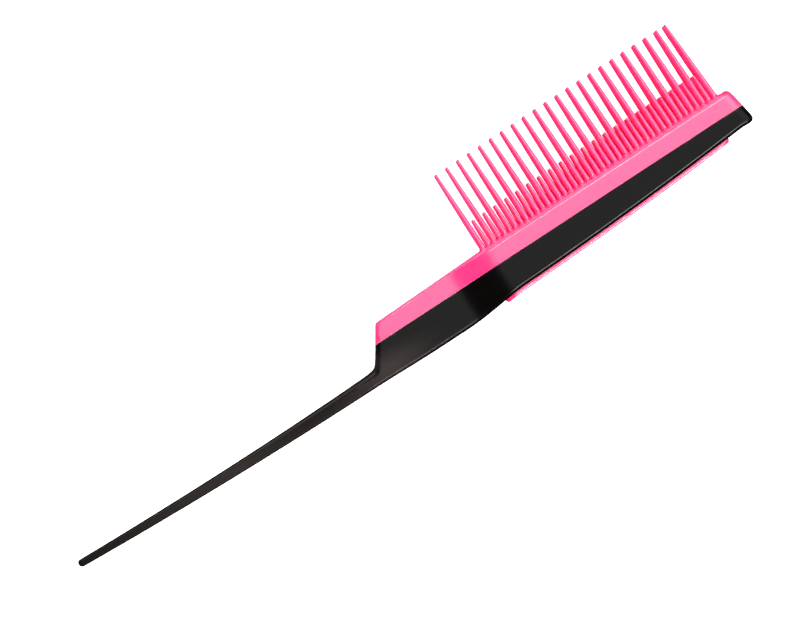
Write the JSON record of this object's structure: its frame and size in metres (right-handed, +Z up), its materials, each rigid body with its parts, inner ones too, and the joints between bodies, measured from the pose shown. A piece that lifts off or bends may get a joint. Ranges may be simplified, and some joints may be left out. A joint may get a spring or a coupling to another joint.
{
  "type": "back-combing hair brush",
  "caption": "Back-combing hair brush with rows of long and short teeth on a slim head, a narrower handle and a thin sectioning tail.",
  "frame": {"origin": "bottom centre of the whole brush's bounding box, with the brush lying on the flat side of its head", "axes": "+X along the brush from the tip of the tail to the end of the head; +Y from the back of the head to the tips of the teeth; +Z up, across the width of the head"},
  "size_m": [0.275, 0.0504, 0.017],
  "materials": {
    "black_plastic": "satin black with a fine moulded texture",
    "pink_plastic": "satin hot pink, self-coloured moulding"
  },
  "bodies": {
    "root": {"body": "black_plastic", "tooth_pad": "pink_plastic", "tooth_row_left": "pink_plastic", "tooth_row_centre": "pink_plastic", "tooth_row_right": "pink_plastic", "back_plate": "pink_plastic"}
  },
  "joints": []
}
